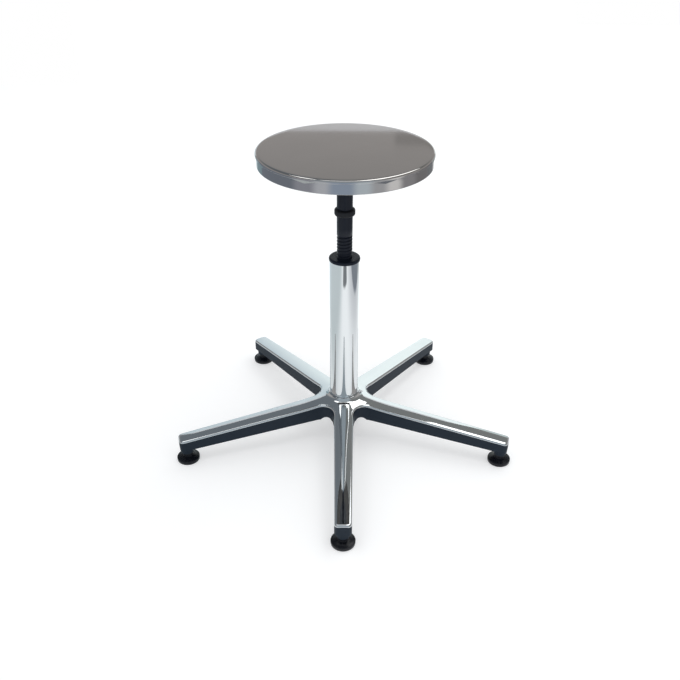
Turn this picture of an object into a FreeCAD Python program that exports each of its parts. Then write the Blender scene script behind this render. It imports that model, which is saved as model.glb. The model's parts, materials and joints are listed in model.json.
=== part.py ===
import FreeCAD, Part
import math
import os
import re
import Sketcher

# Screw-height stool with a steel seat, a chromed column and a five-arm cast base.
# Millimetres, +Z up, origin on the column axis at floor level, one arm along -Y.

V = FreeCAD.Vector
UP = V(0, 0, 1)
os.makedirs("parts", exist_ok=True)
doc = FreeCAD.newDocument("stool")

# Driving dimensions
SIZES = {
    # seat
    "seat_top": 592.0,
    "seat_radius": 152.0,
    "seat_depth": 24.0,
    "skirt_inset": 1.8,
    "bead_height": 6.0,
    "sheet_thick": 1.5,
    "rim_round": 4.0,
    "board_thick": 14.0,
    "board_radius": 146.0,
    "plate_radius": 80.0,
    "plate_thick": 4.0,
    "socket_radius": 20.0,
    "socket_foot": 532.0,
    "socket_flare": 5.0,
    "seat_screw_circle": 64.0,
    "seat_screw_count": 4,
    "seat_screw_radius": 3.0,
    "seat_screw_length": 14.0,
    "seat_screw_head": 5.5,
    "seat_screw_head_thick": 3.2,
    "seat_washer_radius": 8.0,
    "seat_washer_thick": 1.2,
    "screw_hole_slack": 0.3,
    "set_screw_radius": 4.0,
    "set_screw_height": 548.0,
    # spindle
    "shank_radius": 14.2,
    "spigot_radius": 11.0,
    "thread_root": 12.5,
    "thread_pitch": 6.35,
    "thread_base": 4.1,
    "thread_crest": 2.5,
    "thread_sink": 0.4,
    "thread_clear": 0.28,
    "crest_drop": 0.1,
    "thread_end": 434.5,
    "thread_runout": 2.0,
    "spindle_foot": 265.0,
    "ring_radius": 18.6,
    "ring_height": 12.4,
    "ring_round": 4.0,
    "ring_middle": 479.5,
    "stop_radius": 20.0,
    "stop_thick": 4.0,
    "stop_screw_radius": 5.0,
    "stop_screw_length": 28.0,
    "stop_screw_head": 8.0,
    "stop_screw_head_thick": 6.4,
    "running_clear": 0.06,
    # column
    "column_radius": 27.5,
    "column_wall": 2.5,
    "column_top": 386.4,
    "column_foot": 49.0,
    "cap_radius": 28.7,
    "cap_thick": 6.1,
    "cap_round": 2.2,
    "bush_depth": 31.0,
    "bush_land": 5.0,
    "bush_relief": 2.5,
    "nut_top": 354.4,
    "nut_height": 34.0,
    "foot_plate_thick": 8.0,
    "bolt_radius": 6.0,
    "bolt_length": 20.0,
    "bolt_head": 9.4,
    "bolt_head_thick": 7.5,
    "column_washer_radius": 22.0,
    "column_washer_thick": 3.0,
    # base
    "arm_count": 5,
    "arm_reach": 334.5,
    "arm_half_root": 19.8,
    "arm_half_tip": 15.2,
    "tip_round": 7.5,
    "web_round": 26.0,
    "web_arch": 21.0,
    "web_arch_top": 57.5,
    "ridge_root": 89.0,
    "ridge_fall": 0.1065,
    "crown": 1.5,
    "edge_round": 4.3,
    "belly_root": 53.2,
    "belly_fall": 0.0695,
    "hub_rim": 30.2,
    "hub_blend": 22.0,
    "flare_steep": 5.5,
    "flare_steep_reach": 3.0,
    "flare_wide": 5.2,
    "flare_wide_reach": 60.0,
    "hub_radius": 28.6,
    "hub_foot": 31.0,
    "hub_pocket_radius": 24.6,
    "hub_hole_radius": 7.0,
    "ledge_foot": 43.5,
    "channel_start": 64.0,
    "channel_end": 304.0,
    "channel_count": 3,
    "channel_wall": 4.5,
    "channel_roof": 4.5,
    "channel_round": 3.0,
    "rib_thick": 4.0,
    "cover_thick": 2.0,
    "cover_edge": 1.2,
    "cover_rim_wall": 1.8,
    "cover_rim_depth": 5.0,
    # glides
    "glide_circle": 320.0,
    "glide_radius": 21.8,
    "glide_sole": 19.5,
    "glide_edge": 7.8,
    "glide_neck": 9.8,
    "glide_shoulder": 12.4,
    "glide_gap": 0.3,
    "collar_circle": 321.0,
    "collar_radius": 12.5,
    "collar_draft": 2.5,
    "collar_foot": 19.5,
    "stem_radius": 5.5,
    "stem_top": 44.0,
    "stem_foot": 5.0,
    "stem_groove": 0.9,
    "socket_top": 46.5,
    "grip_foot": 27.0,
    "grip_top": 39.0,
    "grip_slit": 1.2,
}

sheet = doc.addObject("Spreadsheet::Sheet", "Sizes")
for row, (alias, number) in enumerate(SIZES.items(), start=1):
    sheet.set(f"A{row}", alias)
    sheet.set(f"B{row}", str(number))
    sheet.setAlias(f"B{row}", alias)
doc.recompute()

# Heights that several pieces share
BOARD_FOOT = "seat_top - sheet_thick - board_thick"
PLATE_FOOT = f"{BOARD_FOOT} - plate_thick"
THREAD_FOOT = "spindle_foot + thread_base / 2 + 1"
TUBE_BORE = "column_radius - column_wall"
SHANK_BORE = "shank_radius + running_clear"
WASHER_FOOT = "ledge_foot - column_washer_thick"


# Expressions

def bound(text):
    """The expression with each dimension's name pointing at its cell."""
    return re.sub(r"[a-z_]+", lambda word: f"Sizes.{word[0]}" if word[0] in SIZES else word[0], text)


def size(text):
    """The number that an expression gives now."""
    number = sheet.evalExpression(bound(text))
    return float(getattr(number, "Value", number))


def drive(thing, path, text):
    """Binds one property of an object to an expression."""
    thing.setExpression(path, bound(text))


# Sketches and features

def new_body(label):
    body = doc.addObject("PartDesign::Body", label)
    body.Label = label
    return body


def origin_item(body, role):
    return next(item for item in body.Origin.OriginFeatures if item.Role == role)


def new_sketch(body, plane, height="0"):
    sketch = body.newObject("Sketcher::SketchObject", f"{body.Label}_sketch")
    sketch.AttachmentSupport = (origin_item(body, plane), [""])
    sketch.MapMode = "FlatFace"
    drive(sketch, ".AttachmentOffset.Base.z", height)
    return sketch


def pin_down(sketch, edge, end, x, y):
    """Holds one point of an edge at the place that two expressions give."""
    for kind, text in (("DistanceX", x), ("DistanceY", y)):
        index = sketch.addConstraint(Sketcher.Constraint(kind, -1, 1, edge, end, size(text)))
        drive(sketch, f"Constraints[{index}]", text)


def trace(sketch, corners):
    """A closed outline of straight edges through corners given as pairs of expressions."""
    places = [V(size(x), size(y), 0) for x, y in corners]
    count = len(places)
    for index in range(count):
        sketch.addGeometry(Part.LineSegment(places[index], places[(index + 1) % count]))
    for index in range(count):
        sketch.addConstraint(Sketcher.Constraint("Coincident", index, 2, (index + 1) % count, 1))
    for index, (x, y) in enumerate(corners):
        pin_down(sketch, index, 1, x, y)
    return sketch


def circle(body, x, y, radius, height):
    """A circle on a level plane."""
    sketch = new_sketch(body, "XY_Plane", height)
    sketch.addGeometry(Part.Circle(V(size(x), size(y), 0), UP, size(radius)))
    pin_down(sketch, 0, 3, x, y)
    index = sketch.addConstraint(Sketcher.Constraint("Radius", 0, size(radius)))
    drive(sketch, f"Constraints[{index}]", radius)
    return sketch


def pad(body, sketch, length, side="One side", taper="0"):
    feature = body.newObject("PartDesign::Pad", f"{body.Label}_pad")
    feature.Profile = sketch
    feature.SideType = side
    drive(feature, "Length", length)
    drive(feature, "TaperAngle", taper)
    body.Tip = feature
    return feature


def pocket(body, sketch, length):
    """Cuts upwards from the sketch."""
    feature = body.newObject("PartDesign::Pocket", f"{body.Label}_pocket")
    feature.Profile = sketch
    feature.Reversed = True
    drive(feature, "Length", length)
    body.Tip = feature
    return feature


def pattern(body, feature, count):
    """Repeats a feature round the vertical axis."""
    repeat = body.newObject("PartDesign::PolarPattern", f"{body.Label}_pattern")
    repeat.Originals = [feature]
    repeat.Axis = (origin_item(body, "Z_Axis"), [""])
    repeat.Angle = 360
    drive(repeat, "Occurrences", count)
    body.Tip = repeat
    return repeat


def turned(label, corners):
    """A body of revolution about the vertical axis, from its half section."""
    body = new_body(label)
    sketch = trace(new_sketch(body, "XZ_Plane"), corners)
    feature = body.newObject("PartDesign::Revolution", f"{label}_turned")
    feature.Profile = sketch
    feature.ReferenceAxis = (sketch, ["V_Axis"])
    feature.Angle = 360
    body.Tip = feature
    return body


def round_edges(body, radius, wanted):
    """Rounds the edges of a body that the test accepts."""
    doc.recompute()
    base = body.Tip
    names = [f"Edge{n}" for n, edge in enumerate(base.Shape.Edges, start=1) if wanted(edge)]
    feature = body.newObject("PartDesign::Fillet", f"{body.Label}_fillet")
    feature.Base = (base, names)
    drive(feature, "Radius", radius)
    body.Tip = feature


def ring_at(radius, height):
    """A test for circles about the vertical axis of a radius and at a height."""
    near, level = size(radius), size(height)

    def wanted(edge):
        if not isinstance(edge.Curve, Part.Circle):
            return False
        return abs(edge.Curve.Radius - near) < 0.05 and abs(edge.Curve.Center.z - level) < 0.05

    return wanted


def upright_between(low, high):
    """A test for vertical edges whose distance from the axis lies between two radii."""
    nearest, farthest = size(low), size(high)

    def wanted(edge):
        first, last = edge.Vertexes[0].Point, edge.Vertexes[-1].Point
        level = math.hypot(first.x - last.x, first.y - last.y)
        return level < 0.01 and nearest < math.hypot(first.x, first.y) < farthest

    return wanted


def combine(kind, label, *pieces):
    """A boolean of whole pieces: MultiFuse, MultiCommon, or Cut of the first by the second."""
    result = doc.addObject(f"Part::{kind}", label)
    result.Label = label
    if kind == "Cut":
        result.Base, result.Tool = pieces
    else:
        result.Shapes = pieces
    result.Refine = True
    return result


def group_of(label, piece, places):
    """Identical pieces at several placements, as one group of separate solids."""
    links = []
    for number, place in enumerate(places, start=1):
        link = doc.addObject("App::Link", f"{label}_{number}")
        link.LinkedObject = piece
        link.Placement = place
        links.append(link)
    group = doc.addObject("Part::Compound", label)
    group.Label = label
    group.Links = links
    return group


def cap_screw(label, shank, head, thick, length):
    """A screw along Z, its head below its origin, with a hexagon socket in the head."""
    body = turned(label, [
        ("0", f"-({thick})"),
        (f"{head} - 0.6", f"-({thick})"),
        (head, f"0.6 - ({thick})"),
        (head, "0"),
        (shank, "0"),
        (shank, f"{length} - 1"),
        (f"{shank} - 1", length),
        ("0", length),
    ])
    corners = [(f"{head} * 0.5 * cos({turn})", f"{head} * 0.5 * sin({turn})") for turn in range(15, 375, 60)]
    socket = trace(new_sketch(body, "XY_Plane", f"-({thick})"), corners)
    pocket(body, socket, f"{thick} * 0.55")
    return body


# Seat

def seat_pan():
    """Drawn shell: flat top, and a rounded rim that stands proud of the skirt."""
    body = turned("seat_pan", [
        ("0", "seat_top"),
        ("seat_radius", "seat_top"),
        ("seat_radius", "seat_top - bead_height"),
        ("seat_radius - skirt_inset", "seat_top - bead_height - skirt_inset"),
        ("seat_radius - skirt_inset", "seat_top - seat_depth"),
        ("seat_radius - skirt_inset - sheet_thick", "seat_top - seat_depth"),
        ("seat_radius - skirt_inset - sheet_thick", "seat_top - sheet_thick"),
        ("0", "seat_top - sheet_thick"),
    ])
    round_edges(body, "rim_round", ring_at("seat_radius", "seat_top"))
    return body


def seat_board():
    """Round board under the sheet, with a pilot hole for each screw."""
    body = turned("seat_board", [
        ("0", "seat_top - sheet_thick"),
        ("board_radius", "seat_top - sheet_thick"),
        ("board_radius", BOARD_FOOT),
        ("0", BOARD_FOOT),
    ])
    hole = pocket(body, circle(body, "seat_screw_circle", "0", "seat_screw_radius", BOARD_FOOT), "10")
    pattern(body, hole, "seat_screw_count")
    return body


def seat_plate():
    """Round steel plate with a clearance hole for each screw."""
    body = new_body("seat_plate")
    pad(body, circle(body, "0", "0", "plate_radius", PLATE_FOOT), "plate_thick")
    radius = "seat_screw_radius + screw_hole_slack"
    hole = pocket(body, circle(body, "seat_screw_circle", "0", radius, PLATE_FOOT), "plate_thick")
    pattern(body, hole, "seat_screw_count")
    return body


def spindle_socket():
    """Sleeve with a flared weld foot under the plate, drilled across for its set screws."""
    sleeve = turned("socket_sleeve", [
        ("spigot_radius", PLATE_FOOT),
        ("socket_radius + socket_flare", PLATE_FOOT),
        ("socket_radius", f"{PLATE_FOOT} - socket_flare"),
        ("socket_radius", "socket_foot"),
        ("spigot_radius", "socket_foot"),
    ])
    drill = doc.addObject("Part::Cylinder", "socket_drill")
    drive(drill, "Radius", "set_screw_radius")
    drive(drill, "Height", "2 * socket_radius + 4")
    drill.Placement = FreeCAD.Placement(V(), FreeCAD.Rotation(V(0, 1, 0), 90))
    drive(drill, ".Placement.Base.x", "-socket_radius - 2")
    drive(drill, ".Placement.Base.z", "set_screw_height")
    return combine("Cut", "spindle_socket", sleeve, drill)


def seat_fasteners():
    """The plate's screws and washers, each kind as one group."""
    screw = cap_screw(
        "seat_screw_master", "seat_screw_radius", "seat_screw_head", "seat_screw_head_thick",
        "seat_screw_length",
    )
    washer = turned("seat_washer_master", [
        ("seat_screw_radius + screw_hole_slack", "0"),
        ("seat_washer_radius", "0"),
        ("seat_washer_radius", "seat_washer_thick"),
        ("seat_screw_radius + screw_hole_slack", "seat_washer_thick"),
    ])
    count, radius = int(size("seat_screw_count")), size("seat_screw_circle")
    level = size(f"{PLATE_FOOT} - seat_washer_thick")
    places = []
    for number in range(count):
        turn = FreeCAD.Rotation(UP, 360 * number / count)
        places.append(FreeCAD.Placement(turn.multVec(V(radius, 0, 0)) + UP * level, turn))
    return [group_of("seat_screws", screw, places), group_of("seat_washers", washer, places)]


def socket_set_screws():
    """Two headless screws that bear on the spigot from both sides."""
    screw = turned("set_screw_master", [
        ("0", "spigot_radius"),
        ("set_screw_radius - 1", "spigot_radius"),
        ("set_screw_radius", "spigot_radius + 1"),
        ("set_screw_radius", "socket_radius - 1"),
        ("0", "socket_radius - 1"),
    ])
    height = V(0, 0, size("set_screw_height"))
    places = [FreeCAD.Placement(height, FreeCAD.Rotation(V(0, 1, 0), side)) for side in (90, -90)]
    return group_of("socket_set_screws", screw, places)


# Spindle

def thread_ridge(label, foot, rise, grow):
    """A right-hand ridge of trapezoidal section; grow swells the section all round."""
    path = doc.addObject("Part::Helix", f"{label}_path")
    drive(path, "Pitch", "thread_pitch")
    drive(path, "Height", rise)
    drive(path, "Radius", "thread_root - thread_sink")
    profile = doc.addObject("Sketcher::SketchObject", f"{label}_profile")
    profile.Placement = FreeCAD.Placement(V(), FreeCAD.Rotation(V(1, 0, 0), 90))
    base, crest = f"(thread_base / 2 + {grow})", f"(thread_crest / 2 + {grow})"
    inner, outer = "thread_root - thread_sink", f"shank_radius - crest_drop + {grow}"
    trace(profile, [(inner, f"-{base}"), (outer, f"-{crest}"), (outer, crest), (inner, base)])
    ridge = doc.addObject("Part::Sweep", label)
    ridge.Sections = [profile]
    ridge.Spine = (path, ["Edge1"])
    ridge.Solid = True
    ridge.Frenet = True
    drive(ridge, ".Placement.Base.z", foot)
    return ridge


def spindle():
    """Spigot, plain shank and slimmer root in one bar, with one raised helical thread."""
    bar = turned("spindle_bar", [
        ("0", PLATE_FOOT),
        ("spigot_radius - 1", PLATE_FOOT),
        ("spigot_radius", f"{PLATE_FOOT} - 1"),
        ("spigot_radius", "socket_foot"),
        ("shank_radius", "socket_foot"),
        ("shank_radius", "thread_end + thread_runout"),
        ("thread_root", "thread_end"),
        ("thread_root", "spindle_foot"),
        ("stop_screw_radius", "spindle_foot"),
        ("stop_screw_radius", "spindle_foot + stop_screw_length"),
        ("0", "spindle_foot + stop_screw_length + stop_screw_radius"),
    ])
    rise = f"thread_end + thread_runout + thread_base - ({THREAD_FOOT})"
    return combine("MultiFuse", "spindle", bar, thread_ridge("spindle_ridge", THREAD_FOOT, rise, "0"))


def bumper_ring():
    """Rubber ring with a rounded outside."""
    low, high = "ring_middle - ring_height / 2", "ring_middle + ring_height / 2"
    body = turned("bumper_ring", [
        (SHANK_BORE, low),
        ("ring_radius", low),
        ("ring_radius", high),
        (SHANK_BORE, high),
    ])
    at_low, at_high = ring_at("ring_radius", low), ring_at("ring_radius", high)
    round_edges(body, "ring_round", lambda edge: at_low(edge) or at_high(edge))
    return body


def stop_washer():
    return turned("stop_washer", [
        ("stop_screw_radius + screw_hole_slack", "spindle_foot - stop_thick"),
        ("stop_radius - 1", "spindle_foot - stop_thick"),
        ("stop_radius", "spindle_foot - stop_thick + 1"),
        ("stop_radius", "spindle_foot"),
        ("stop_screw_radius + screw_hole_slack", "spindle_foot"),
    ])


def stop_screw():
    screw = cap_screw(
        "stop_screw", "stop_screw_radius", "stop_screw_head", "stop_screw_head_thick",
        "stop_screw_length",
    )
    drive(screw, ".Placement.Base.z", "spindle_foot - stop_thick")
    return screw


# Column

def column_tube():
    return turned("column_tube", [
        (TUBE_BORE, "column_foot"),
        ("column_radius", "column_foot"),
        ("column_radius", "column_top"),
        (TUBE_BORE, "column_top"),
    ])


def guide_bush():
    """Flange that covers the tube's end, and a relieved sleeve with a plain bore."""
    relief = f"{TUBE_BORE} - bush_relief"
    body = turned("guide_bush", [
        (SHANK_BORE, "column_top + cap_thick"),
        ("cap_radius", "column_top + cap_thick"),
        ("cap_radius", "column_top"),
        (TUBE_BORE, "column_top"),
        (TUBE_BORE, "column_top - bush_land"),
        (relief, "column_top - bush_land - bush_relief"),
        (relief, "column_top - bush_depth + bush_land + bush_relief"),
        (TUBE_BORE, "column_top - bush_depth + bush_land"),
        (TUBE_BORE, "column_top - bush_depth"),
        (SHANK_BORE, "column_top - bush_depth"),
    ])
    round_edges(body, "cap_round", ring_at("cap_radius", "column_top + cap_thick"))
    return body


def spindle_nut():
    """Plain blank cut by a ridge in step with the spindle's, swollen by the clearance."""
    foot = "nut_top - nut_height"
    blank = turned("nut_blank", [
        ("thread_root + thread_clear", foot),
        (TUBE_BORE, foot),
        (TUBE_BORE, "nut_top"),
        ("thread_root + thread_clear", "nut_top"),
    ])
    turns = math.floor(size(f"({foot} - ({THREAD_FOOT})) / thread_pitch")) - 1
    start = f"{THREAD_FOOT} + {turns} * thread_pitch"
    ridge = thread_ridge("nut_ridge", start, "nut_height + 3 * thread_pitch", "thread_clear")
    return combine("Cut", "spindle_nut", blank, ridge)


def column_foot_plate():
    """Disc welded into the tube's foot, with a hole for the bolt."""
    return turned("column_foot_plate", [
        ("bolt_radius", "column_foot"),
        (TUBE_BORE, "column_foot"),
        (TUBE_BORE, "column_foot + foot_plate_thick"),
        ("bolt_radius", "column_foot + foot_plate_thick"),
    ])


def column_washer():
    return turned("column_washer", [
        ("hub_hole_radius", WASHER_FOOT),
        ("column_washer_radius", WASHER_FOOT),
        ("column_washer_radius", "ledge_foot"),
        ("hub_hole_radius", "ledge_foot"),
    ])


def column_bolt():
    bolt = cap_screw("column_bolt", "bolt_radius", "bolt_head", "bolt_head_thick", "bolt_length")
    drive(bolt, ".Placement.Base.z", WASHER_FOOT)
    return bolt


def hub_cover():
    """Plug that closes the hub, with a rim inside the hub's pocket."""
    rim = "hub_pocket_radius - cover_rim_wall"
    return turned("hub_cover", [
        ("0", "hub_foot - cover_thick"),
        ("hub_radius - cover_edge", "hub_foot - cover_thick"),
        ("hub_radius", "hub_foot - cover_thick + cover_edge"),
        ("hub_radius", "hub_foot"),
        ("hub_pocket_radius", "hub_foot"),
        ("hub_pocket_radius", "hub_foot + cover_rim_depth"),
        (rim, "hub_foot + cover_rim_depth"),
        (rim, "hub_foot"),
        ("0", "hub_foot"),
    ])


# Base

def star_blank():
    """Five tapered arms that cross at the axis, with round webs and tips, as a tall prism."""
    body = new_body("star_blank")
    outline = trace(new_sketch(body, "XY_Plane"), [
        ("-arm_half_root", "0"),
        ("-arm_half_tip", "-arm_reach"),
        ("arm_half_tip", "-arm_reach"),
        ("arm_half_root", "0"),
    ])
    arm = pad(body, outline, "1.4 * ridge_root")
    pattern(body, arm, "arm_count")
    round_edges(body, "web_round", upright_between("arm_half_root", "2 * arm_half_root"))
    round_edges(body, "tip_round", upright_between("arm_reach - 5", "arm_reach + 5"))
    return body


def above_cone(label, level, fall):
    """Everything within reach over a cone that falls outwards from the axis."""
    far, roof = "(arm_reach + 10)", "1.5 * ridge_root"
    return turned(label, [
        ("0", level),
        (far, f"{level} - {fall} * {far}"),
        (far, roof),
        ("0", roof),
    ])


def arm_half(radius):
    """Half the arm's width at a distance from the axis."""
    taper = size("arm_half_root - arm_half_tip") / size("arm_reach")
    return size("arm_half_root") - taper * radius


def top_height(radius, angle):
    """Height of the unrounded top at a radius and an angle from the arm's middle line."""
    ridge = size("ridge_root") - size("ridge_fall") * radius
    beyond = max(0, radius - size("hub_rim"))
    ridge += size("flare_steep") * math.exp(-beyond / size("flare_steep_reach"))
    ridge += size("flare_wide") * max(0, 1 - beyond / size("flare_wide_reach")) ** 2
    arms = size("arm_count")
    across = 2 * (1 - math.cos(arms * angle)) * (radius / arms / arm_half(radius)) ** 2
    near_hub = min(1, beyond / size("hub_blend"))
    return ridge - size("crown") * across * near_hub * near_hub * (3 - 2 * near_hub)


def crown_tool():
    """The space over the slightly domed top of one arm and of the webs beside it."""
    reach = size("arm_reach")
    near = [size("hub_rim") + step for step in (-8, -4, -1, 0, 0.8, 2, 4, 7, 12, 18, 25, 33, 42, 54, 70)]
    far = [near[-1] + (reach + 7 - near[-1]) * step / 9 for step in range(1, 10)]
    rows = []
    for radius in near + far:
        over_webs = max(0, (100 - radius) / 110)
        widest = min(math.pi / size("arm_count") + 0.09, (arm_half(radius) + 6) / radius + over_webs)
        row = []
        for step in range(-8, 9):
            angle = widest * step / 8
            height = top_height(radius, angle)
            row.append(V(radius * math.sin(angle), -radius * math.cos(angle), height))
        rows.append(row)
    surface = Part.BSplineSurface()
    surface.interpolate(rows)
    tool = doc.addObject("Part::Feature", "crown_tool")
    tool.Shape = surface.toShape().extrude(UP * size("ridge_root"))
    return tool


def channels():
    """The hollows under one arm, with a cross rib between one and the next."""
    body = new_body("arm_channels")
    count = int(size("channel_count"))
    roof = "(ridge_root - crown - channel_roof)"
    span = f"((channel_end - channel_start - {count - 1} * rib_thick) / {count})"
    for number in range(count):
        start = f"(channel_start + {number} * ({span} + rib_thick))"
        end = f"({start} + {span})"
        outline = trace(new_sketch(body, "YZ_Plane"), [
            (f"-{start}", "0"),
            (f"-{end}", "0"),
            (f"-{end}", f"{roof} - ridge_fall * {end}"),
            (f"-{start}", f"{roof} - ridge_fall * {start}"),
        ])
        half = f"(arm_half_root - (arm_half_root - arm_half_tip) * {end} / arm_reach - channel_wall)"
        pad(body, outline, f"2 * {half}", side="Symmetric")
    round_edges(body, "channel_round", upright_between("channel_start", "channel_end + 20"))
    return body


def collar():
    """Drafted boss under the tip, which holds the glide's stem."""
    body = new_body("arm_collar")
    foot = circle(body, "0", "-collar_circle", "collar_radius - 0.7", "collar_foot")
    pad(body, foot, "collar_radius + 3", taper="collar_draft")
    return body


def stem_socket():
    body = new_body("stem_socket")
    mouth = circle(body, "0", "-glide_circle", "stem_radius + running_clear", "collar_foot - 1")
    pad(body, mouth, "socket_top - collar_foot + 1")
    return body


def sector():
    """The wedge of space that belongs to one arm."""
    body = new_body("arm_sector")
    far, half = "(arm_reach + 10)", "(180 / arm_count)"
    outline = trace(new_sketch(body, "XY_Plane"), [
        ("0", "0"),
        (f"-{far} * tan({half})", f"-{far}"),
        (f"{far} * tan({half})", f"-{far}"),
    ])
    pad(body, outline, "1.4 * ridge_root")
    return body


def on_rim(edge):
    """Whether an edge of the crowned block runs along the star's outline at the top."""
    first, last = edge.FirstParameter, edge.LastParameter
    places = [edge.valueAt(first + (last - first) * share) for share in (0.1, 0.5, 0.9)]
    wedge = math.pi / size("arm_count")
    for place in places:
        radius = math.hypot(place.x, place.y)
        angle = abs(math.atan2(place.x, -place.y))
        if radius < 1.5 * size("column_radius") or angle > wedge - 0.001:
            return False
        if place.z < top_height(radius, angle) - 1:
            return False
    return True


def web_arches():
    """Round hollows that thin the webs on both sides of an arm from below."""
    half_turn = 180 / size("arm_count")
    wedge = math.radians(half_turn)
    taper = size("arm_half_root - arm_half_tip") / size("arm_reach")
    side = size("web_round") * math.hypot(1, taper) + size("arm_half_root")
    middle = side / (math.sin(wedge) + taper * math.cos(wedge)) - size("web_round")
    centre = V(0, -middle, size("web_arch_top - web_arch"))
    balls = []
    for angle in (-half_turn, half_turn):
        ball = doc.addObject("Part::Sphere", "web_arch")
        drive(ball, "Radius", "web_arch")
        turn = FreeCAD.Rotation(UP, angle)
        ball.Placement = FreeCAD.Placement(turn.multVec(centre), turn * FreeCAD.Rotation(V(0, 1, 0), 90))
        balls.append(ball)
    return balls


def one_arm():
    """One arm with its share of the hub: rounded top, collar under the tip, channels below."""
    belly = above_cone("belly_zone", "belly_root", "belly_fall")
    block = combine("MultiCommon", "arm_block", star_blank(), belly, sector())
    crowned = combine("Cut", "arm_crowned", block, crown_tool())
    doc.recompute()
    rounded = doc.addObject("Part::Fillet", "arm_rounded")
    rounded.Base = crowned
    radius = size("edge_round")
    rims = [number for number, edge in enumerate(crowned.Shape.Edges, start=1) if on_rim(edge)]
    rounded.Edges = [(number, radius, radius) for number in rims]
    solid = combine("MultiFuse", "arm_solid", rounded, collar())
    hollow = combine("MultiFuse", "arm_hollow", channels(), stem_socket(), *web_arches())
    return combine("Cut", "arm", solid, hollow)


def base_star():
    """One casting: the arms, a hub boss, the column's bore and the pocket under its ledge."""
    arm = one_arm()
    doc.recompute()
    count = int(size("arm_count"))
    turns = [FreeCAD.Placement(V(), FreeCAD.Rotation(UP, 360 * n / count)) for n in range(count)]
    boss = turned("hub_boss", [
        ("0", "hub_foot"),
        ("hub_radius", "hub_foot"),
        ("hub_radius", "belly_root + 6"),
        ("0", "belly_root + 6"),
    ])
    whole = combine("MultiFuse", "star_whole", *group_of("star_arms", arm, turns).Links, boss)
    bore = turned("hub_bore", [
        ("0", "hub_foot - 1"),
        ("hub_pocket_radius", "hub_foot - 1"),
        ("hub_pocket_radius", "ledge_foot"),
        ("hub_hole_radius", "ledge_foot"),
        ("hub_hole_radius", "column_foot"),
        ("column_radius", "column_foot"),
        ("column_radius", "2 * ridge_root"),
        ("0", "2 * ridge_root"),
    ])
    return combine("Cut", "base_star", whole, bore)


# Glides

def place_at_tip(piece, number):
    """Moves a piece from the axis to the middle of one glide."""
    angle = f"(360 * {number - 1} / arm_count - 90)"
    drive(piece, ".Placement.Base.x", f"glide_circle * cos({angle})")
    drive(piece, ".Placement.Base.y", f"glide_circle * sin({angle})")


def glide_foot(number):
    """Disc with a soft edge and a low cone up to the neck, moulded round the stem."""
    top = "collar_foot - glide_gap"
    return turned(f"glide_foot_{number}", [
        ("0", "0"),
        ("glide_sole", "0"),
        ("glide_radius - 0.6", "0.9"),
        ("glide_radius", "2.6"),
        ("glide_radius", "glide_edge - 2"),
        ("glide_radius - 0.6", "glide_edge - 0.6"),
        ("glide_sole + 0.4", "glide_edge"),
        ("glide_neck + 0.8", "glide_shoulder - 1"),
        ("glide_neck", "glide_shoulder"),
        ("glide_neck", top),
        ("stem_radius", top),
        ("stem_radius", "stem_foot"),
        ("0", "stem_foot"),
    ])


def glide_stem(number):
    """Steel pin with a long groove for the grip sleeve."""
    waist = "stem_radius - stem_groove"
    return turned(f"glide_stem_{number}", [
        ("0", "stem_foot"),
        ("stem_radius", "stem_foot"),
        ("stem_radius", "grip_foot"),
        (waist, "grip_foot"),
        (waist, "grip_top"),
        ("stem_radius", "grip_top"),
        ("stem_radius", "stem_top - 1.5"),
        ("stem_radius - 1.5", "stem_top"),
        ("0", "stem_top"),
    ])


def glide_grip(number):
    """Split spring sleeve that sits tight in the socket and loose in the groove."""
    label = f"glide_grip_{number}"
    inner, outer = "stem_radius - stem_groove + running_clear", "stem_radius + running_clear"
    low, high = "grip_foot + glide_gap", "grip_top - glide_gap"
    body = turned(label, [(inner, low), (outer, low), (outer, high), (inner, high)])
    slit = trace(new_sketch(body, "XY_Plane", low), [
        ("0", "-grip_slit / 2"),
        ("2 * stem_radius", "-grip_slit / 2"),
        ("2 * stem_radius", "grip_slit / 2"),
        ("0", "grip_slit / 2"),
    ])
    pocket(body, slit, f"{high} - ({low})")
    return body


# Assembly

pieces = [
    seat_pan(), seat_board(), seat_plate(), spindle_socket(), *seat_fasteners(), socket_set_screws(),
    spindle(), bumper_ring(), stop_washer(), stop_screw(),
    column_tube(), guide_bush(), spindle_nut(), column_foot_plate(), column_washer(), column_bolt(),
    hub_cover(), base_star(),
]
for number in range(1, int(size("arm_count")) + 1):
    for piece in (glide_foot(number), glide_stem(number), glide_grip(number)):
        place_at_tip(piece, number)
        pieces.append(piece)
doc.recompute()

for item in doc.Objects:
    if {"Invalid", "Error"} & set(item.State):
        raise RuntimeError(f"{item.Label} failed: {item.State}")
for piece in pieces:
    if piece.Shape.isNull() or not piece.Shape.isValid():
        raise RuntimeError(f"{piece.Label} has no valid shape")
for piece in pieces:
    piece.Shape.exportStep(f"parts/{piece.Label}.step")
    solids = len(piece.Shape.Solids)
    print(f"{piece.Label}: {solids} solid(s), {piece.Shape.Volume / 1000:.2f} cm3")
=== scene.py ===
import json
import math

import bmesh
import bpy
from mathutils import Matrix, Vector


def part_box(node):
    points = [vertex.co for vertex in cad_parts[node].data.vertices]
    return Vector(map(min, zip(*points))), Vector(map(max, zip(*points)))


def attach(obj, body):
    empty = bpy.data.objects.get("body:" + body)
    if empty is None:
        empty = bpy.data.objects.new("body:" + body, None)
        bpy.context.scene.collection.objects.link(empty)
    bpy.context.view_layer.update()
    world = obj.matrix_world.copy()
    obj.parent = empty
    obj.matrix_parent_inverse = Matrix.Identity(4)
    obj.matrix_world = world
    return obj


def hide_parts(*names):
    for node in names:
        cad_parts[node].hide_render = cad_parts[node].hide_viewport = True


# Screw-height stool: steel seat, black spindle, chromed column, polished and painted star base.
# Mesh code works in millimetres; every piece is scaled to metres when its mesh is made.

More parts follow.
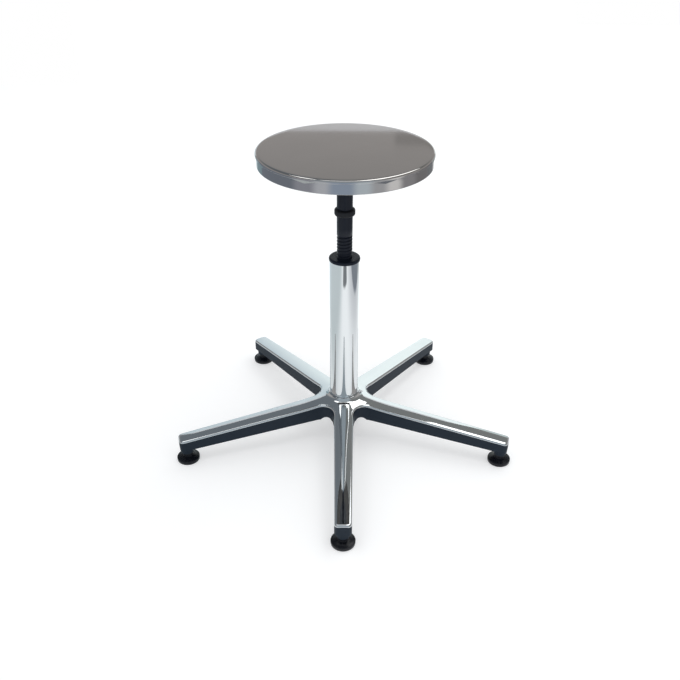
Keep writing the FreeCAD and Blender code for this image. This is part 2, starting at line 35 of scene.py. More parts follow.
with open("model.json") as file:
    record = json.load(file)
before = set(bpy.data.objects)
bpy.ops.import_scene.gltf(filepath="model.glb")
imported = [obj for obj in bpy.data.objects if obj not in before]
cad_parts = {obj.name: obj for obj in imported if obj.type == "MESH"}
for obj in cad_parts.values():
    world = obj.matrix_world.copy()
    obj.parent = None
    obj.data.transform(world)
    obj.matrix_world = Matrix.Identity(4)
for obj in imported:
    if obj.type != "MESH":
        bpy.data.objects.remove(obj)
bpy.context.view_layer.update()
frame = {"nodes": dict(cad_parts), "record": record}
MM = 0.001
scene = bpy.context.scene


# Node helpers

class Graph:
    """A material's or world's node tree with short calls for the nodes used here."""

    def __init__(self, tree):
        self.tree = tree
        self.nodes = tree.nodes
        self.nodes.clear()

    def add(self, kind, **settings):
        node = self.nodes.new(kind)
        for key, value in settings.items():
            setattr(node, key, value)
        return node

    def feed(self, socket, value):
        """Sets a socket, or links it where the value is another node's output."""
        if isinstance(value, bpy.types.NodeSocket):
            self.tree.links.new(value, socket)
        else:
            socket.default_value = value

    def math(self, operation, *values):
        node = self.add("ShaderNodeMath", operation=operation)
        for socket, value in zip(node.inputs, values):
            self.feed(socket, value)
        return node.outputs[0]

    def span(self, value, low, high, to_low=0.0, to_high=1.0):
        """A smooth step from to_low to to_high while the value goes from low to high."""
        node = self.add("ShaderNodeMapRange", interpolation_type="SMOOTHSTEP")
        for name, number in zip(("Value", "From Min", "From Max", "To Min", "To Max"),
                                (value, low, high, to_low, to_high)):
            self.feed(node.inputs[name], number)
        return node.outputs[0]

    def blend(self, share, first, second):
        """The first colour where the share is 0, the second where it is 1."""
        node = self.add("ShaderNodeMix", data_type="RGBA")
        self.feed(node.inputs[0], share)
        for socket, colour in zip(node.inputs[6:8], (first, second)):
            linked = isinstance(colour, bpy.types.NodeSocket)
            self.feed(socket, colour if linked else (*colour, 1.0))
        return node.outputs[2]

    def place(self, stretch=(1.0, 1.0, 1.0)):
        """Object coordinates, with a scale per axis."""
        coordinates = self.add("ShaderNodeTexCoord").outputs["Object"]
        node = self.add("ShaderNodeMapping")
        self.feed(node.inputs["Vector"], coordinates)
        node.inputs["Scale"].default_value = stretch
        return node.outputs[0]

    def noise(self, scale, detail=3.0, roughness=0.5, where=None):
        node = self.add("ShaderNodeTexNoise")
        self.feed(node.inputs["Vector"], self.place() if where is None else where)
        for name, value in (("Scale", scale), ("Detail", detail), ("Roughness", roughness)):
            node.inputs[name].default_value = value
        return node.outputs[0]

    def bump(self, height, distance):
        """A normal bumped by a height from 0 to 1, over a distance in metres."""
        node = self.add("ShaderNodeBump")
        node.inputs["Strength"].default_value = 1.0
        node.inputs["Distance"].default_value = distance
        self.feed(node.inputs["Height"], height)
        return node.outputs[0]

    def axes(self):
        """The object's own x, y and z in metres."""
        split = self.add("ShaderNodeSeparateXYZ")
        self.feed(split.inputs[0], self.add("ShaderNodeTexCoord").outputs["Object"])
        return split.outputs


def material(name, metallic, specular=0.5):
    """A new material with its graph and its Principled shader."""
    made = bpy.data.materials.new(name)
    made.use_nodes = True
    graph = Graph(made.node_tree)
    shader = graph.add("ShaderNodeBsdfPrincipled")
    shader.inputs["Metallic"].default_value = metallic
    shader.inputs["Specular IOR Level"].default_value = specular
    output = graph.add("ShaderNodeOutputMaterial")
    graph.feed(output.inputs["Surface"], shader.outputs[0])
    return made, graph, shader.inputs


# Materials

def brushed_sheet(name, low, high, roughness, depth):
    """Satin stainless sheet: fine scratches along one direction over a slow colour drift."""
    made, graph, inputs = material(name, 1.0)
    lines = graph.noise(60.0, 4.0, 0.7, graph.place((1.0, 30.0, 30.0)))
    drift = graph.noise(14.0, 2.0)
    graph.feed(inputs["Base Color"], graph.blend(drift, low, high))
    graph.feed(inputs["Roughness"], graph.span(lines, 0.25, 0.75, roughness, 2 * roughness))
    graph.feed(inputs["Normal"], graph.bump(lines, depth))
    return made


def mirror_metal(name, low, high, roughness, waviness):
    """Polished or plated metal: near-mirror, with faint polishing haze and slow waves."""
    made, graph, inputs = material(name, 1.0)
    haze = graph.noise(220.0, 5.0, 0.7)
    drift = graph.noise(9.0, 2.0)
    graph.feed(inputs["Base Color"], graph.blend(drift, low, high))
    graph.feed(inputs["Roughness"], graph.span(haze, 0.3, 0.75, roughness, roughness + 0.04))
    graph.feed(inputs["Normal"], graph.bump(graph.noise(26.0, 1.0), waviness))
    return made


def plain_steel(name, low, high, roughness):
    """Turned, plated or blackened steel for the fittings."""
    made, graph, inputs = material(name, 1.0)
    grain = graph.noise(420.0, 4.0, 0.65)
    drift = graph.noise(30.0, 3.0)
    graph.feed(inputs["Base Color"], graph.blend(drift, low, high))
    graph.feed(inputs["Roughness"], graph.span(grain, 0.3, 0.7, roughness - 0.06, roughness + 0.08))
    graph.feed(inputs["Normal"], graph.bump(grain, 0.00001))
    return made


def dark_coat(name, low, high, roughness, depth, specular=0.5):
    """Paint, moulded plastic or rubber: a fine surface grain over slightly uneven colour."""
    made, graph, inputs = material(name, 0.0, specular)
    grain = graph.noise(900.0, 3.0, 0.6)
    drift = graph.noise(40.0, 3.0)
    graph.feed(inputs["Base Color"], graph.blend(drift, low, high))
    graph.feed(inputs["Roughness"], graph.span(grain, 0.3, 0.7, roughness - 0.05, roughness + 0.07))
    graph.feed(inputs["Normal"], graph.bump(grain, depth))
    return made


def plywood(name):
    """Plywood in near-black, with the shade under the seat painted into its colour: long grain on the
    faces, thin plies on the edge.
    """
    made, graph, inputs = material(name, 0.0, 0.35)
    grain = graph.noise(22.0, 6.0, 0.62, graph.place((1.0, 9.0, 1.0)))
    plies = graph.add("ShaderNodeTexWave", wave_type="BANDS", bands_direction="Z")
    graph.feed(plies.inputs["Vector"], graph.place())
    plies.inputs["Scale"].default_value = 110.0
    # near-black face colour: painted shade for the unlit underside of the seat
    face = graph.blend(grain, (0.052, 0.050, 0.049), (0.088, 0.082, 0.076))
    seams = graph.span(plies.outputs[1], 0.3, 0.7, 0.0, 0.35)
    graph.feed(inputs["Base Color"], graph.blend(seams, face, (0.036, 0.033, 0.030)))
    graph.feed(inputs["Roughness"], graph.span(grain, 0.3, 0.7, 0.55, 0.7))
    graph.feed(inputs["Normal"], graph.bump(grain, 0.00004))
    return made


# each line: darker and lighter tone, roughness, depth of the fine relief in metres, specular
SEAT_STEEL = brushed_sheet(
    "seat_steel", (0.53, 0.512, 0.498), (0.57, 0.552, 0.538), 0.035, 0.0000012)
CHROME = mirror_metal(
    "chrome_plate", (0.755, 0.775, 0.78), (0.79, 0.80, 0.805), 0.012, 0.000006)
POLISHED = mirror_metal(
    "polished_aluminium", (0.72, 0.745, 0.76), (0.77, 0.785, 0.795), 0.04, 0.000012)
ZINC_STEEL = plain_steel("zinc_steel", (0.52, 0.53, 0.54), (0.64, 0.65, 0.66), 0.34)
DARK_STEEL = plain_steel("dark_steel", (0.045, 0.047, 0.052), (0.085, 0.087, 0.092), 0.36)
SPINDLE_BLACK = dark_coat(
    "spindle_black", (0.005, 0.007, 0.014), (0.009, 0.012, 0.021), 0.34, 0.00001, 0.25)
RUBBER = dark_coat(
    "black_rubber", (0.006, 0.007, 0.010), (0.011, 0.012, 0.016), 0.5, 0.00002, 0.3)
CAP_PLASTIC = dark_coat(
    "cap_plastic", (0.006, 0.009, 0.016), (0.010, 0.014, 0.024), 0.24, 0.000006, 0.2)
GLIDE_PLASTIC = dark_coat(
    "glide_plastic", (0.003, 0.004, 0.007), (0.006, 0.007, 0.011), 0.26, 0.000006, 0.3)
BASE_PAINT = dark_coat(
    "base_paint", (0.005, 0.013, 0.024), (0.009, 0.018, 0.031), 0.5, 0.00003, 0.22)
# plywood whose dark colour is painted shade under the seat
SHADED_PLYWOOD = plywood("plywood_painted_shade")


# Mesh helpers

AXIS_GAP = 0.02  # radius at which a turned profile starts, just off its axis


def piece(name, mesh, body, slot, *replaced):
    """Puts a finished mesh in the scene as a piece of a body."""
    made = bpy.data.objects.new(name, mesh)
    scene.collection.objects.link(made)
    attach(made, body)
    if replaced:
        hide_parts(*replaced)
    return made


def close_mesh(name, points, faces, materials, face_material=None, sharp_degrees=35.0):
    """A smooth mesh in metres from millimetre points, with doubled points merged."""
    mesh = bpy.data.meshes.new(name)
    work = bmesh.new()
    corners = [work.verts.new(Vector(point) * MM) for point in points]
    for number, face in enumerate(faces):
        ring = [corners[index] for index in face]
        if len(set(face)) < 3:
            continue
        made = work.faces.new(ring)
        made.smooth = True
        if face_material is not None:
            made.material_index = face_material[number]
    bmesh.ops.remove_doubles(work, verts=work.verts, dist=0.000004)
    bmesh.ops.dissolve_degenerate(work, dist=0.000002, edges=work.edges)
    bmesh.ops.recalc_face_normals(work, faces=work.faces)
    for edge in work.edges:
        if len(edge.link_faces) == 2 and edge.calc_face_angle(0.0) > math.radians(sharp_degrees):
            edge.smooth = False
    work.to_mesh(mesh)
    work.free()
    for entry in materials:
        mesh.materials.append(entry)
    return mesh


def arc(centre, radius, start, end, steps):
    """Points of a circular arc in the half section, angles in degrees from outwards to up."""
    points = []
    for step in range(steps + 1):
        angle = math.radians(start + (end - start) * step / steps)
        points.append((centre[0] + radius * math.cos(angle), centre[1] + radius * math.sin(angle)))
    return points


def lathe(name, profile, materials, segments=128, closed=True, centre=(0.0, 0.0)):
    """A body of revolution from a half section of (radius, height) points."""
    points, faces = [], []
    for turn in range(segments):
        angle = 2 * math.pi * turn / segments
        cosine, sine = math.cos(angle), math.sin(angle)
        for radius, height in profile:
            points.append((centre[0] + radius * cosine, centre[1] + radius * sine, height))
    count = len(profile)
    for turn in range(segments):
        here, following = turn * count, (turn + 1) % segments * count
        for index in range(count if closed else count - 1):
            after = (index + 1) % count
            faces.append((here + index, following + index, following + after, here + after))
    return close_mesh(name, points, faces, materials)


# Seat

def seat_shell():
    """Drawn pan: a soft rim that stands a little proud, a straight skirt, a turned lower edge."""
    top, radius, skirt, sheet = 592.0, 152.0, 150.2, 1.5
    rim_round, ledge, ledge_drop, hem_drop = 4.0, 0.4, 5.4, 23.25
    inside = skirt - sheet
    profile = [(AXIS_GAP, top)]
    profile += [(radius * share, top) for share in (0.2, 0.4, 0.6, 0.8, 0.93)]
    profile += arc((radius - rim_round, top - rim_round), rim_round, 90, 0, 14)
    profile += arc((radius - ledge, top - ledge_drop), ledge, 0, -90, 5)
    profile += [(skirt + 0.5, top - 5.9), (skirt + 0.1, top - 6.2), (skirt, top - 6.8)]
    profile += [(skirt, top - 12.0), (skirt, top - 18.0), (skirt, top - 22.6)]
    profile += arc((skirt - sheet / 2, top - hem_drop), sheet / 2, 0, -180, 10)
    profile += [(inside, top - 20.0), (inside, top - 8.0), (inside - 1.0, top - sheet)]
    profile += [(radius * share, top - sheet) for share in (0.8, 0.4)]
    profile += [(AXIS_GAP, top - sheet)]
    mesh = lathe("seat_shell", profile, [SEAT_STEEL], 256, closed=False)
    return piece("seat_shell", mesh, "seat", "seat_steel", "seat_pan")


# Column and spindle

def column_shell():
    outer, inner, foot, top = 27.5, 25.0, 49.0, 386.4
    heights = [foot + (top - foot) * step / 24 for step in range(25)]
    profile = [(outer, height) for height in heights]
    profile += [(inner, height) for height in reversed(heights)]
    mesh = lathe("column_shell", profile, [CHROME], 192)
    return piece("column_shell", mesh, "base", "chrome", "column_tube")


def cap_shell():
    """Flanged bush: rolled rim on top, sleeve down the tube."""
    bore, rim, top, under = 14.26, 28.7, 392.5, 386.4
    upper_round, lower_round, sleeve, sleeve_length = 2.6, 1.0, 25.0, 31.0
    profile = [(bore, top - 0.5), (bore + 0.6, top)]
    profile += [(20.0, top), (24.0, top)]
    profile += arc((rim - upper_round, top - upper_round), upper_round, 90, 0, 10)
    profile += arc((rim - lower_round, under + lower_round), lower_round, 0, -90, 6)
    profile += [(27.0, under), (sleeve, under)]
    profile += [(sleeve, under - sleeve_length), (bore, under - sleeve_length)]
    mesh = lathe("cap_shell", profile, [CAP_PLASTIC], 160)
    return piece("cap_shell", mesh, "base", "black_plastic", "guide_bush")


def ring_shell():
    """Rubber ring, full and round on the outside."""
    bore, middle, half, radius, edge = 14.26, 479.5, 6.2, 18.6, 3.6
    profile = [(bore, middle - half)]
    profile += arc((radius - edge, middle - half + edge), edge, -90, 0, 8)
    profile += arc((radius - edge, middle + half - edge), edge, 0, 90, 8)
    profile += [(bore, middle + half)]
    mesh = lathe("ring_shell", profile, [RUBBER], 128)
    return piece("ring_shell", mesh, "height_ring", "rubber", "bumper_ring")


PITCH, THREAD_ROOT, THREAD_CREST, SHANK = 6.35, 12.5, 14.1, 14.2
THREAD_FOOT, THREAD_END, RUNOUT = 265.0, 434.5, 2.0


def thread_radius(phase):
    """Radius of the thread's flank and crest at a share of the pitch from a crest's middle."""
    root, crest, half_crest, half_base = THREAD_ROOT, THREAD_CREST, 1.25 / PITCH, 2.05 / PITCH
    away = abs((phase + 0.5) % 1.0 - 0.5)
    share = min(1.0, max(0.0, (half_base - away) / (half_base - half_crest)))
    return root + (crest - root) * share * share * (3 - 2 * share)


def spindle_shell():
    """Shank and one right-hand thread as a single skin whose rows follow the helix."""
    segments, per_pitch = 96, 12
    start = THREAD_FOOT + 4.1 / 2 + 1
    turns = int((THREAD_END + 2 * PITCH - THREAD_FOOT) / PITCH) + 2
    points, faces = [], []
    for row in range((turns + 1) * per_pitch + 1):
        phase = row / per_pitch
        for turn in range(segments + 1):
            share = turn / segments
            height = start - PITCH + PITCH * (phase + share - 1)
            radius = thread_radius(phase)
            if height > THREAD_END:
                swell = min(1.0, (height - THREAD_END) / RUNOUT)
                radius = max(radius, THREAD_ROOT + (SHANK - THREAD_ROOT) * swell)
            if height < THREAD_FOOT + 2.5:
                radius = THREAD_ROOT
            height = min(max(height, THREAD_FOOT), THREAD_END + RUNOUT)
            angle = 2 * math.pi * share
            points.append((radius * math.cos(angle), radius * math.sin(angle), height))
    count = segments + 1
    for row in range((turns + 1) * per_pitch):
        for turn in range(segments):
            here = row * count + turn
            faces.append((here, here + 1, here + count + 1, here + count))
    threaded = close_mesh("spindle_thread", points, faces, [SPINDLE_BLACK], sharp_degrees=60.0)
    shoulder, top, neck, edge = 532.0, 572.5, 11.0, 0.6
    profile = [(SHANK, height) for height in (THREAD_END + RUNOUT, 450.0, 500.0, shoulder - edge)]
    profile += arc((SHANK - edge, shoulder - edge), edge, 0, 90, 3)
    profile += [(neck, shoulder), (neck, top - 1.0), (neck - 1.0, top), (AXIS_GAP, top)]
    shank = lathe("spindle_shank", profile, [SPINDLE_BLACK], 96, closed=False)
    work = bmesh.new()
    work.from_mesh(threaded)
    work.from_mesh(shank)
    bmesh.ops.remove_doubles(work, verts=work.verts, dist=0.00002)
    loops = [edge for edge in work.edges if edge.is_boundary]
    bmesh.ops.holes_fill(work, edges=loops, sides=0)
    bmesh.ops.dissolve_degenerate(work, dist=0.000002, edges=work.edges)
    bmesh.ops.recalc_face_normals(work, faces=work.faces)
    mesh = bpy.data.meshes.new("spindle_shell")
    work.to_mesh(mesh)
    work.free()
    mesh.materials.append(SPINDLE_BLACK)
    return piece("spindle_shell", mesh, "seat", "spindle_black", "spindle")


# Base: a polished skin over the casting's top and its rounded edge

ARMS = 5
REACH = 334.5
HALF_ROOT, HALF_TIP = 19.8, 15.2
WEB_ROUND, TIP_ROUND = 26.0, 7.5
EDGE_ROUND = 4.3
SKIN_LIFT = 0.25
SKIN_END = 80.0
BORE = 27.62
WEB_STEPS, SIDE_STEPS, TIP_STEPS = 14, 54, 9
RIDGE_ROOT, RIDGE_SLOPE, CROWN = 89.0, 0.1065, 1.5
LAND, LIP_RISE, LIP_FADE, HUB_RISE, HUB_SPREAD, CROWN_START = 30.2, 5.5, 3.0, 5.2, 60.0, 22.0


def top_height(radius, angle):
    """Height of the casting's top at a radius and an angle from the arm's middle line."""
    beyond = max(0.0, radius - LAND)
    ridge = RIDGE_ROOT - RIDGE_SLOPE * radius + LIP_RISE * math.exp(-beyond / LIP_FADE)
    ridge += HUB_RISE * max(0.0, 1 - beyond / HUB_SPREAD) ** 2
    half = HALF_ROOT - (HALF_ROOT - HALF_TIP) * radius / REACH
    across = 2 * (1 - math.cos(ARMS * angle)) * (radius / ARMS / half) ** 2
    near_hub = min(1.0, beyond / CROWN_START)
    return ridge - CROWN * across * near_hub * near_hub * (3 - 2 * near_hub)


def height_at(across, along):
    return top_height(math.hypot(across, along), math.atan2(across, along))


def arm_edge():
    """Right half of one arm's outline, from the web's middle to the tip's middle corner.

    Each entry is a point and its outward direction, both as (across, along)."""
    taper = (HALF_ROOT - HALF_TIP) / REACH
    stretch = math.hypot(1, taper)
    wedge = math.pi / ARMS
    distance = (WEB_ROUND * stretch + HALF_ROOT) / (math.sin(wedge) + taper * math.cos(wedge))
    web = Vector((distance * math.sin(wedge), distance * math.cos(wedge)))
    slope = math.atan(taper)
    rows = []
    for step in range(WEB_STEPS + 1):
        angle = 1.5 * math.pi - wedge + (slope + wedge - math.pi / 2) * step / WEB_STEPS
        out = -Vector((math.cos(angle), math.sin(angle)))
        rows.append((web - out * WEB_ROUND, out))
    side = Vector((1, taper)) / stretch
    first = rows[-1][0].y
    last = REACH - TIP_ROUND + TIP_ROUND * math.sin(slope)
    for step in range(1, SIDE_STEPS + 1):
        along = first + (last - first) * step / SIDE_STEPS
        rows.append((Vector((HALF_ROOT - taper * along, along)), side))
    corner = rows[-1][0] - side * TIP_ROUND
    for step in range(1, TIP_STEPS + 1):
        angle = slope + (math.pi / 2 - slope) * step / TIP_STEPS
        out = Vector((math.cos(angle), math.sin(angle)))
        rows.append((corner + out * TIP_ROUND, out))
    return rows


def rounding(point, out):
    """Points of the rounded edge, from its start on the top to where the paint begins."""
    start = point - out * EDGE_ROUND
    before = start - out * 0.5
    slope = math.atan((height_at(*before) - height_at(*start)) / 0.5)
    radius = EDGE_ROUND + SKIN_LIFT
    first = start + out * EDGE_ROUND * math.sin(slope)
    centre = height_at(*first) - EDGE_ROUND * math.cos(slope)
    last = math.radians(SKIN_END)
    rows = []
    for step in range(11):
        angle = slope + (last - slope) * step / 10
        spot = start + out * radius * math.sin(angle)
        rows.append((spot.x, spot.y, centre + radius * math.cos(angle)))
    return rows


def polished_skin():
    """Skin over the casting's top and its rounded edge, just proud of the metal."""
    halves, columns = 14, 29
    edge = arm_edge()
    # rows of the top: end point (radius, angle), end height and middle radius
    rows = []
    start = Vector(rounding(*edge[0])[0][:2])
    middle_start = 54.0
    hub_steps = 18
    for step in range(hub_steps):
        share = (step / hub_steps) ** 1.5
        radius = BORE + (start.length - BORE) * share
        rows.append((radius, math.pi / ARMS, BORE + (middle_start - BORE) * share))
    for number, (point, out) in enumerate(edge):
        end = Vector(rounding(point, out)[0][:2])
        middle = end.y
        if number < WEB_STEPS:
            middle = middle_start + (edge[WEB_STEPS][0].y - middle_start) * number / WEB_STEPS
        rows.append((end.length, math.atan2(end.x, end.y), middle))
    points, faces = [], []

    def put(across, along, height, turn):
        cosine, sine = math.cos(turn), math.sin(turn)
        x, y = across, -along
        points.append((x * cosine - y * sine, x * sine + y * cosine, height))
        return len(points) - 1

    for arm in range(ARMS):
        turn = 2 * math.pi * arm / ARMS
        grid = []
        for end_radius, end_angle, middle in rows:
            line = []
            for column in range(columns):
                share = (column - halves) / halves
                radius = middle + (end_radius - middle) * share * share
                angle = end_angle * share
                height = top_height(radius, angle) + SKIN_LIFT
                line.append(put(radius * math.sin(angle), radius * math.cos(angle), height, turn))
            grid.append(line)
        for low, high in zip(grid, grid[1:]):
            for column in range(columns - 1):
                faces.append((low[column], low[column + 1], high[column + 1], high[column]))
        # the rounded edge runs from one web's middle round the tip to the other's
        around = list(edge)
        tip = around[-1][0]
        for step in range(1, halves + 1):
            around.append((Vector((tip.x * (halves - step) / halves, tip.y)), Vector((0.0, 1.0))))
        for point, out in reversed(around[:-1]):
            around.append((Vector((-point.x, point.y)), Vector((-out.x, out.y))))
        strips = [[put(x, y, height, turn) for x, y, height in rounding(point, out)]
                  for point, out in around]
        for low, high in zip(strips, strips[1:]):
            for index in range(len(low) - 1):
                faces.append((low[index], low[index + 1], high[index + 1], high[index]))
        # the bore's edge rolls down beside the column
        rim = []
        for column in range(columns):
            angle = math.pi / ARMS * (column - halves) / halves
            level = top_height(BORE, angle) + SKIN_LIFT
            inner = BORE - 0.02
            low = put(inner * math.sin(angle), inner * math.cos(angle), level - 1.2, turn)
            rim.append((grid[0][column], low))
        for low, high in zip(rim, rim[1:]):
            faces.append((low[0], low[1], high[1], high[0]))
    mesh = close_mesh("base_skin", points, faces, [POLISHED], sharp_degrees=50.0)
    made = piece("base_skin", mesh, "base", "base_aluminium")
    thick = made.modifiers.new("thickness", "SOLIDIFY")
    thick.thickness = 0.0007
    thick.offset = -1.0
    return made


# Glides

def glide_cups():
    """Moulded feet: a disc with a soft edge and a fine groove, a low cone, and the neck."""
    for number in range(1, ARMS + 1):
        low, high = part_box(f"glide_foot_{number}")
        centre = ((low.x + high.x) / 2 / MM, (low.y + high.y) / 2 / MM)
        profile = [(0.02, 0.0), (14.0, 0.0), (19.4, 0.0)]
        profile += arc((20.2, 1.4), 1.4, -90, -20, 5)
        profile += [(21.8, 2.6), (21.8, 5.6)]
        profile += arc((20.2, 6.2), 1.6, 0, 80, 6)
        profile += [(18.4, 8.15), (14.5, 9.6), (11.2, 11.1)]
        profile += arc((11.3, 12.6), 1.5, -100, -180, 5)
        profile += [(9.8, 14.0), (9.8, 18.7)]
        profile += arc((9.3, 18.7), 0.5, 0, 90, 3)
        profile += [(5.5, 19.2), (5.5, 5.0), (0.02, 5.0)]
        mesh = lathe(f"glide_cup_{number}", profile, [GLIDE_PLASTIC], 96, closed=False, centre=centre)
        piece(f"glide_cup_{number}", mesh, f"glide_{number}", "glide_plastic", f"glide_foot_{number}")


def socket_weld():
    """Rippled fillet weld between the socket's foot and the plate."""
    points, faces = [], []
    around, across = 240, 8
    for turn in range(around):
        angle = 2 * math.pi * turn / around
        ripple = 0.18 * abs(math.sin(angle * 22)) + 0.08 * math.sin(angle * 5 + 1)
        for step in range(across):
            side = 2 * math.pi * step / across
            radius = 25.2 + (1.9 + ripple) * math.cos(side)
            height = 571.9 + (1.5 + ripple) * math.sin(side)
            points.append((radius * math.cos(angle), radius * math.sin(angle), min(height, 572.4)))
    for turn in range(around):
        here, following = turn * across, (turn + 1) % around * across
        for step in range(across):
            after = (step + 1) % across
            faces.append((here + step, following + step, following + after, here + after))
    mesh = close_mesh("socket_weld", points, faces, [DARK_STEEL], sharp_degrees=80.0)
    return piece("socket_weld", mesh, "seat", "dark_steel")


# Carried-over parts

SLOT_LOOKS = {
    "seat_steel": SEAT_STEEL,
    "plywood": SHADED_PLYWOOD,
    "zinc_steel": ZINC_STEEL,
    "dark_steel": DARK_STEEL,
    "spring_steel": DARK_STEEL,
    "spindle_black": SPINDLE_BLACK,
    "rubber": RUBBER,
    "chrome": CHROME,
    "black_plastic": CAP_PLASTIC,
    "base_aluminium": BASE_PAINT,
    "glide_plastic": GLIDE_PLASTIC,
}


def dress_nodes():
    slots = {entry["node"]: entry["material_slot"] for entry in frame["record"]["subparts"]}
    for name, node in frame["nodes"].items():
        node.data.materials.clear()
        node.data.materials.append(SLOT_LOOKS[slots[name]])


# Stage, light and camera

SHEET_FRONT, COVE_START, CARD, COVE = -0.95, 0.75, 0.95, 0.2
CAMERA_PLACE, CAMERA_TURN, CAMERA_TILT, CAMERA_ROLL = (0.0, -1.3042, 1.0184), 0.348, 31.654, 0.133


def sheet_look(name, glow, reflection_shade):
    """White paper: white to the camera through an even emission; to glossy rays it shows painted
    reflection tones, light and dark patches that stand in for what metal would mirror around it.
    """
    made = bpy.data.materials.new(name)
    made.use_nodes = True
    graph = Graph(made.node_tree)
    glossy = graph.add("ShaderNodeLightPath").outputs["Is Glossy Ray"]
    paper = graph.add("ShaderNodeBsdfDiffuse")
    shade = graph.math("MULTIPLY", glossy, reflection_shade(graph))
    # to glossy rays the paper is darker in the masked places: painted dark reflection
    graph.feed(paper.inputs["Color"], graph.blend(shade, (0.68, 0.68, 0.68), (0.24, 0.25, 0.26)))
    light = graph.add("ShaderNodeEmission")
    # even emission of 0.41 to camera and diffuse rays; to glossy rays an emission in uneven tones, a
    # painted reflection
    graph.feed(light.inputs["Color"], graph.blend(glossy, (0.41, 0.41, 0.41), glow(graph)))
    both = graph.add("ShaderNodeAddShader")
    output = graph.add("ShaderNodeOutputMaterial")
    graph.feed(both.inputs[0], paper.outputs[0])
    graph.feed(both.inputs[1], light.outputs[0])
    graph.feed(output.inputs["Surface"], both.outputs[0])
    return made


def stand_painted_reflection(graph, x, y):
    """Where a dark patch is painted at the front of the sheet: painted reflection of the foot of the
    camera's stand, which is not in the scene.
    """
    width = graph.math("MULTIPLY", graph.span(x, -0.15, -0.10), graph.span(x, 0.19, 0.24, 1.0, 0.0))
    return graph.math("MULTIPLY", width, graph.span(y, -0.69, -0.66, 1.0, 0.0))


def sheet_reflection_glow(graph):
    """Emission seen by glossy rays only, a painted reflection: brightest in front of the object and
    behind it, duller to the sides.
    """
    x, y, z = graph.axes()
    # painted reflection tones on the floor part and on the card behind
    flat = graph.blend(graph.span(x, -0.45, -0.05), (0.0, 0.05, 0.06), (0.40, 0.42, 0.43))
    flat = graph.blend(graph.span(x, 0.15, 0.65), flat, (0.0, 0.01, 0.03))
    # no emission where the camera stand's foot is painted: painted dark reflection
    flat = graph.blend(stand_painted_reflection(graph, x, y), flat, (0.0, 0.0, 0.0))
    card = graph.blend(graph.span(x, -0.5, 0.2), (0.05, 0.13, 0.16), (0.42, 0.50, 0.48))
    card = graph.blend(graph.span(z, 0.70, 0.80), card, (0.06, 0.06, 0.07))
    behind = graph.blend(graph.span(y, 0.2, 0.6), flat, card)
    # no emission low on the right of the card: painted dark reflection
    low_right = graph.math("MULTIPLY", graph.span(x, 0.40, 0.46), graph.span(z, 0.36, 0.40, 1.0, 0.0))
    low_right = graph.math("MULTIPLY", low_right, graph.span(y, 0.2, 0.6))
    return graph.blend(low_right, behind, (0.0, 0.0, 0.0))


def sheet_reflection_shade(graph):
    """Where the paper is painted darker to glossy rays, a painted dark reflection: its right side, its
    back left corner, and under the stand.
    """
    x, y, z = graph.axes()
    left = graph.math("MULTIPLY", graph.span(x, -0.60, -0.54, 1.0, 0.0), graph.span(y, 0.6, 0.8))
    left = graph.math("MULTIPLY", left, graph.span(z, 0.36, 0.42, 1.0, 0.0))
    sides = graph.math("MAXIMUM", left, graph.span(x, 0.60, 0.66))
    return graph.math("MAXIMUM", sides, stand_painted_reflection(graph, x, y))


def studio_sheet():
    """Sheet of paper that lies under the object and rises behind it."""
    profile = [(SHEET_FRONT, 0.0), (0.2, 0.0), (COVE_START, 0.0)]
    for step in range(1, 13):
        angle = math.pi / 2 * step / 12
        profile.append((COVE_START + COVE * math.sin(angle), COVE - COVE * math.cos(angle)))
    profile.append((CARD, 0.45))
    columns = [-1.15, -0.74, -0.72, -0.4, 0.0, 0.4, 0.54, 0.62, 1.15]
    tops = [0.46, 0.46, 0.85, 0.85, 0.85, 0.85, 0.84, 0.62, 0.62]
    points = []
    for x, top in zip(columns, tops):
        points += [(x, y, z) for y, z in profile] + [(x, CARD, top)]
    count = len(profile) + 1
    faces = []
    for column in range(len(columns) - 1):
        for row in range(count - 1):
            here = column * count + row
            faces.append((here, here + count, here + count + 1, here + 1))
    mesh = bpy.data.meshes.new("sheet")
    mesh.from_pydata(points, [], faces)
    for face in mesh.polygons:
        face.use_smooth = True
    sheet = bpy.data.objects.new("sheet", mesh)
    scene.collection.objects.link(sheet)
    mesh.materials.append(sheet_look("paper_painted_reflections", sheet_reflection_glow, sheet_reflection_shade))


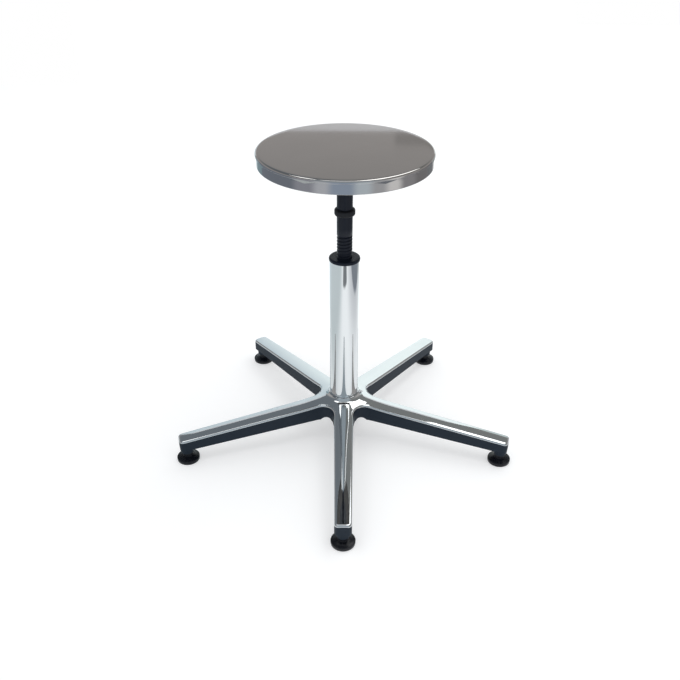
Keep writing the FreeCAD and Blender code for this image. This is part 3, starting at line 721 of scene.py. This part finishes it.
def studio_world():
    """White to the camera; to metal, a grey room with uneven tones below."""
    world = bpy.data.worlds.new("studio")
    world.use_nodes = True
    scene.world = world
    graph = Graph(world.node_tree)
    direction = graph.add("ShaderNodeSeparateXYZ")
    graph.feed(direction.inputs[0], graph.add("ShaderNodeTexCoord").outputs["Generated"])
    x, y, z = direction.outputs
    rise = graph.math("MULTIPLY", graph.math("ARCSINE", z), 180 / math.pi)
    bearing = graph.math("MULTIPLY", graph.math("ARCTAN2", x, y), 180 / math.pi)
    upper = graph.blend(graph.span(bearing, -20.0, 20.0), (0.168, 0.188, 0.208), (0.215, 0.222, 0.218))
    room = graph.blend(graph.span(rise, 9.0, 36.0), (0.46, 0.44, 0.43), upper)
    clamp = graph.math("MULTIPLY", graph.span(rise, 16.9, 17.0),
                       graph.span(rise, 17.6, 17.9, 1.0, 0.0))
    clamp = graph.math("MULTIPLY", clamp, graph.span(bearing, 3.4, 3.9))
    room = graph.blend(graph.math("MULTIPLY", clamp, 0.3), room, (0.0, 0.0, 0.0))
    front = graph.span(graph.math("ABSOLUTE", bearing), 118.0, 150.0)
    front = graph.math("MULTIPLY", front, graph.span(rise, 60.0, 68.0, 1.0, 0.0))
    room = graph.blend(front, room, (0.38, 0.43, 0.47))
    # what stands beyond the sheet, by bearing: start of each stretch and its tone
    stretches = [(-180, (0.37, 0.45, 0.57)), (-160, (0.60, 0.64, 0.70)), (-140, (0.36, 0.38, 0.44)),
                 (-112, (0.22, 0.25, 0.30)), (45, (0.24, 0.24, 0.25)), (78, (0.34, 0.34, 0.36)),
                 (104, (0.86, 0.87, 0.88)), (125, (0.50, 0.52, 0.55)), (146, (0.62, 0.71, 0.78)),
                 (168, (0.37, 0.45, 0.57))]
    below = stretches[0][1]
    for start, tone in stretches[1:]:
        below = graph.blend(graph.span(bearing, start - 7.0, start + 7.0), below, tone)
    seen = graph.blend(graph.span(rise, -4.0, 8.0), below, room)
    path = graph.add("ShaderNodeLightPath")
    glossy = graph.math("MAXIMUM", path.outputs["Is Glossy Ray"], path.outputs["Is Transmission Ray"])
    fill = graph.blend(glossy, (0.74, 0.76, 0.78), seen)
    colour = graph.blend(path.outputs["Is Camera Ray"], fill, (1.0, 1.0, 1.0))
    background = graph.add("ShaderNodeBackground")
    graph.feed(background.inputs["Color"], colour)
    output = graph.add("ShaderNodeOutputWorld")
    graph.feed(output.inputs["Surface"], background.outputs[0])


def soft_box(name, place, width, length, twist, power):
    """A rectangular lamp that points straight down, twisted about the vertical in degrees."""
    lamp = bpy.data.lights.new(name, "AREA")
    lamp.shape = "RECTANGLE"
    lamp.size, lamp.size_y = width, length
    lamp.energy = power
    made = bpy.data.objects.new(name, lamp)
    scene.collection.objects.link(made)
    made.location = place
    made.rotation_euler = (0.0, 0.0, math.radians(twist))


def photo_camera():
    """The photograph's viewpoint, fitted to it: angles in degrees, the tilt down from level."""
    lens = bpy.data.cameras.new("camera")
    lens.sensor_width = 36.0
    lens.lens = 41.99
    lens.clip_start, lens.clip_end = 0.05, 60.0
    made = bpy.data.objects.new("camera", lens)
    scene.collection.objects.link(made)
    turn = Matrix.Rotation(math.radians(CAMERA_TURN), 4, "Z")
    tilt = Matrix.Rotation(math.radians(90 - CAMERA_TILT), 4, "X")
    roll = Matrix.Rotation(math.radians(CAMERA_ROLL), 4, "Z")
    made.matrix_world = Matrix.Translation(CAMERA_PLACE) @ turn @ tilt @ roll
    scene.camera = made


dress_nodes()
seat_shell()
column_shell()
cap_shell()
ring_shell()
spindle_shell()
polished_skin()
glide_cups()
socket_weld()
studio_sheet()
studio_world()
soft_box("overhead", (0.604, 0.300, 1.6), 0.52, 1.41, -16.6, 5.1)
soft_box("top", (0.05, -0.45, 2.3), 1.3, 0.5, 0.0, 2.8)
soft_box("front_left", (-0.72, -0.22, 1.6), 0.5, 0.5, 0.0, 1.5)
photo_camera()
scene.view_settings.view_transform = "Standard"
